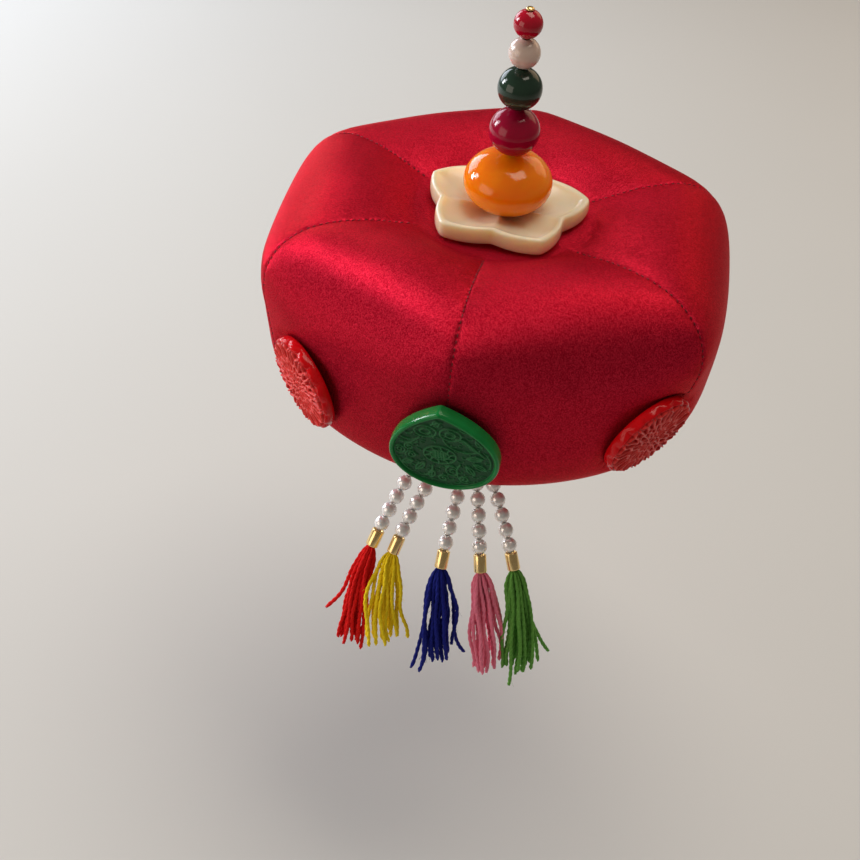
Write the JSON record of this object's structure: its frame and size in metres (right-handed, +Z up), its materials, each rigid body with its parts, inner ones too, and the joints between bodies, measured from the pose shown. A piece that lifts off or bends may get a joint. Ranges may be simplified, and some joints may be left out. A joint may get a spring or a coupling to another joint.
{
  "type": "jokduri",
  "caption": "Padded ceremonial coronet of silk gores with a bead finial on a flower plate, carved medallions and short pearl strings that end in tassels.",
  "frame": {"origin": "middle of the head opening, in the plane of the lip that sits on the head", "axes": "+Z up through the crown towards the finial, -Y towards the front with the tassels, +X to the right as seen from the front"},
  "size_m": [0.1398, 0.159, 0.1873],
  "materials": {
    "silk": "crimson satin over thick padding, with a soft sheen",
    "pale_stone": "pale cream jade or shell, polished",
    "finial_amber": "clouded amber, polished",
    "finial_dark_red": "dark red, high gloss",
    "finial_green": "dark green, high gloss",
    "finial_pearl": "pearl lustre",
    "finial_small_red": "red, high gloss",
    "brass": "polished gold-coloured brass",
    "green_resin": "jade-green, gloss rim round a carved face",
    "red_resin": "coral-red, carved, with worn high spots",
    "thread": "pale twisted thread",
    "pearl": "pearl lustre",
    "yarn_red": "twisted yarn",
    "yarn_yellow": "twisted yarn",
    "yarn_blue": "twisted yarn",
    "yarn_pink": "twisted yarn",
    "yarn_green": "twisted yarn"
  },
  "bodies": {
    "root": {"crown_gore_1": "silk", "crown_gore_2": "silk", "crown_gore_3": "silk", "crown_gore_4": "silk", "crown_gore_5": "silk", "crown_gore_6": "silk", "flower_plate": "pale_stone", "finial_amber": "finial_amber", "finial_dark_red": "finial_dark_red", "finial_green": "finial_green", "finial_pearl": "finial_pearl", "finial_small_red": "finial_small_red", "finial_pin": "brass", "medallion_front": "green_resin", "medallion_left": "red_resin", "medallion_right": "red_resin", "thread_1": "thread", "thread_2": "thread", "thread_3": "thread", "thread_4": "thread", "thread_5": "thread", "pearl_1_1": "pearl", "pearl_1_2": "pearl", "pearl_1_3": "pearl", "pearl_1_4": "pearl", "pearl_1_5": "pearl", "pearl_2_1": "pearl", "pearl_2_2": "pearl", "pearl_2_3": "pearl", "pearl_2_4": "pearl", "pearl_2_5": "pearl", "pearl_3_1": "pearl", "pearl_3_2": "pearl", "pearl_3_3": "pearl", "pearl_3_4": "pearl", "pearl_3_5": "pearl", "pearl_4_1": "pearl", "pearl_4_2": "pearl", "pearl_4_3": "pearl", "pearl_4_4": "pearl", "pearl_4_5": "pearl", "pearl_5_1": "pearl", "pearl_5_2": "pearl", "pearl_5_3": "pearl", "pearl_5_4": "pearl", "pearl_5_5": "pearl", "tube_1": "brass", "tube_2": "brass", "tube_3": "brass", "tube_4": "brass", "tube_5": "brass", "tassel_red": "yarn_red", "tassel_yellow": "yarn_yellow", "tassel_blue": "yarn_blue", "tassel_pink": "yarn_pink", "tassel_green": "yarn_green"}
  },
  "joints": []
}
